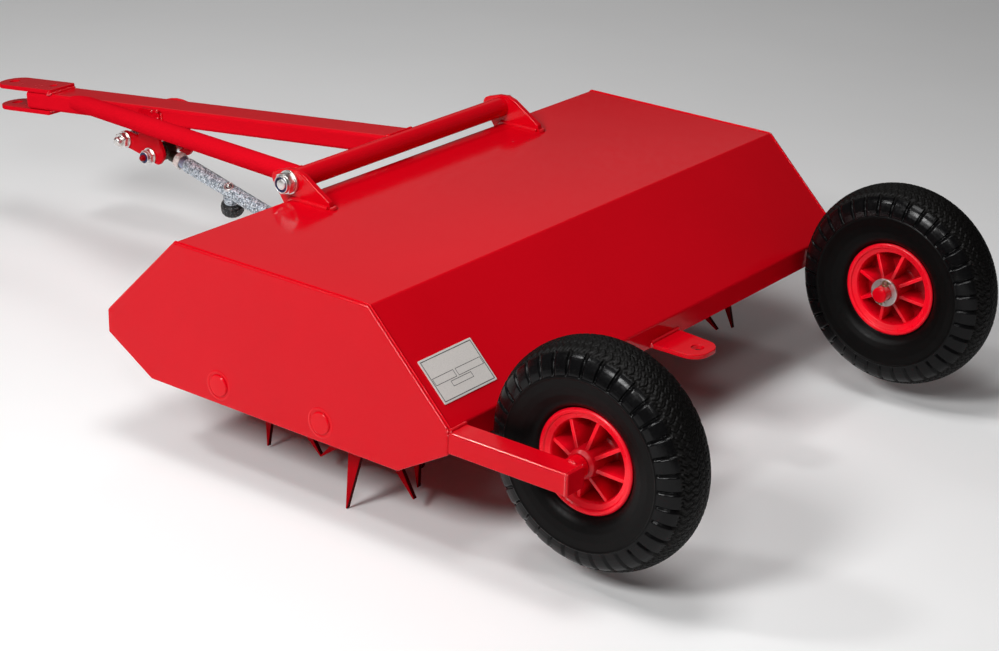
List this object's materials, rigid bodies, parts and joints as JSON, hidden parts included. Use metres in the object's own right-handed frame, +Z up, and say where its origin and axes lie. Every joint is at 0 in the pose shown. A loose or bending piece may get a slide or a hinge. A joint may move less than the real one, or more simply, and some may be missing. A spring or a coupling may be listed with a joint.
{
  "type": "tow-behind dethatcher",
  "caption": "Low sheet-metal hood over two tined rotors, carried by wheels on trailing arms and pulled by a hinged drawbar whose height is set by a telescopic strut.",
  "frame": {"origin": "on the floor under the middle of the bounding box, with the machine standing on its tines", "axes": "+Z up, +X towards the side with the drawbar's side brace, -Y towards the hitch"},
  "size_m": [0.8244, 1.4322, 0.32],
  "materials": {
    "red_paint": "glossy red powder coat over welded steel",
    "rim_plastic": "semi-gloss red moulded plastic",
    "tyre": "black rubber with fine block tread",
    "zinc_plate": "bright zinc plate",
    "galvanised": "dull spangled galvanising",
    "plain_steel": "oiled bare steel",
    "plate_alu": "matt anodised blank plate",
    "knob": "black ribbed plastic"
  },
  "bodies": {
    "frame": {"hood_shell": "red_paint", "end_plate_left": "red_paint", "end_plate_right": "red_paint", "bearing_cap_front_left": "red_paint", "bearing_cap_front_right": "red_paint", "bearing_cap_rear_left": "red_paint", "bearing_cap_rear_right": "red_paint", "bearing_front_left": "plain_steel", "bearing_front_right": "plain_steel", "bearing_rear_left": "plain_steel", "bearing_rear_right": "plain_steel", "blank_plate": "plate_alu", "pivot_lug_left": "red_paint", "pivot_lug_right": "red_paint", "pivot_bolt": "zinc_plate", "pivot_washer": "zinc_plate", "pivot_nut": "zinc_plate", "wheel_arm_left": "red_paint", "wheel_arm_right": "red_paint", "stub_axle_left": "red_paint", "stub_axle_right": "red_paint", "hub_washer_left": "zinc_plate", "hub_washer_right": "zinc_plate", "split_pin_left": "zinc_plate", "split_pin_right": "zinc_plate", "tow_lug": "red_paint", "strut_lug": "red_paint", "strut_lug_bolt": "zinc_plate", "drive_chain": "plain_steel"},
    "drawbar": {"cross_tube": "red_paint", "main_bar": "red_paint", "side_brace": "red_paint", "hitch_plate_upper": "red_paint", "hitch_plate_lower": "red_paint", "strut_bracket_left": "red_paint", "strut_bracket_right": "red_paint", "spacer_sleeve": "galvanised", "spacer_bolt": "zinc_plate", "spacer_nut": "zinc_plate", "strut_bolt": "zinc_plate", "strut_nut": "zinc_plate"},
    "strut_inner": {"strut_inner_tube": "galvanised"},
    "strut_outer": {"strut_outer_tube": "galvanised", "strut_rod_end": "galvanised", "strut_lock_nut": "galvanised"},
    "index_pin": {"index_pin": "zinc_plate", "index_knob": "knob"},
    "wheel_left": {"tyre_left": "tyre", "rim_left": "rim_plastic"},
    "wheel_right": {"tyre_right": "tyre", "rim_right": "rim_plastic"},
    "rotor_front": {"rotor_front_shaft": "plain_steel", "rotor_front_tines_1": "red_paint", "rotor_front_tines_2": "red_paint", "sprocket_front": "plain_steel"},
    "rotor_rear": {"rotor_rear_shaft": "plain_steel", "rotor_rear_tines_1": "red_paint", "rotor_rear_tines_2": "red_paint", "sprocket_rear": "plain_steel"}
  },
  "joints": [
    {"name": "drawbar_tilt", "type": "hinge", "parent": "frame", "child": "drawbar", "pos_m": [0, 0.04005, 0.30349], "axis": [1, 0, 0], "range_deg": [-10, 4]},
    {"name": "strut_swing", "type": "hinge", "parent": "frame", "child": "strut_inner", "pos_m": [0, -0.09495, 0.12709], "axis": [1, 0, 0], "range_deg": [-12.6, 5.1]},
    {"name": "strut_telescope", "type": "slide", "parent": "strut_inner", "child": "strut_outer", "axis": [0, -0.9733, 0.2297], "range_m": [-0.0146, 0.0364]},
    {"name": "index_pin_pull", "type": "slide", "parent": "strut_outer", "child": "index_pin", "axis": [-0.3256, -0.2172, -0.9202], "range_m": [0, 0.008], "stiffness_N_per_m": 600, "springref_m": -0.004},
    {"name": "wheel_left_spin", "type": "hinge", "parent": "frame", "child": "wheel_left", "pos_m": [0.3255, 0.58605, 0.15649], "axis": [1, 0, 0], "continuous": true},
    {"name": "wheel_right_spin", "type": "hinge", "parent": "frame", "child": "wheel_right", "pos_m": [-0.3255, 0.58605, 0.15649], "axis": [1, 0, 0], "continuous": true},
    {"name": "rotor_rear_spin", "type": "hinge", "parent": "frame", "child": "rotor_rear", "pos_m": [0, 0.26805, 0.12498], "axis": [1, 0, 0], "continuous": true},
    {"name": "rotor_front_spin", "type": "hinge", "parent": "frame", "child": "rotor_front", "pos_m": [0, 0.11205, 0.12498], "axis": [1, 0, 0], "continuous": true}
  ],
  "couplings": [
    {"joint": "strut_swing", "follows": "drawbar_tilt", "ratio": 1.2485},
    {"joint": "strut_telescope", "follows": "drawbar_tilt", "m_per_rad": -0.20783},
    {"joint": "rotor_front_spin", "follows": "rotor_rear_spin", "ratio": 1.5}
  ]
}
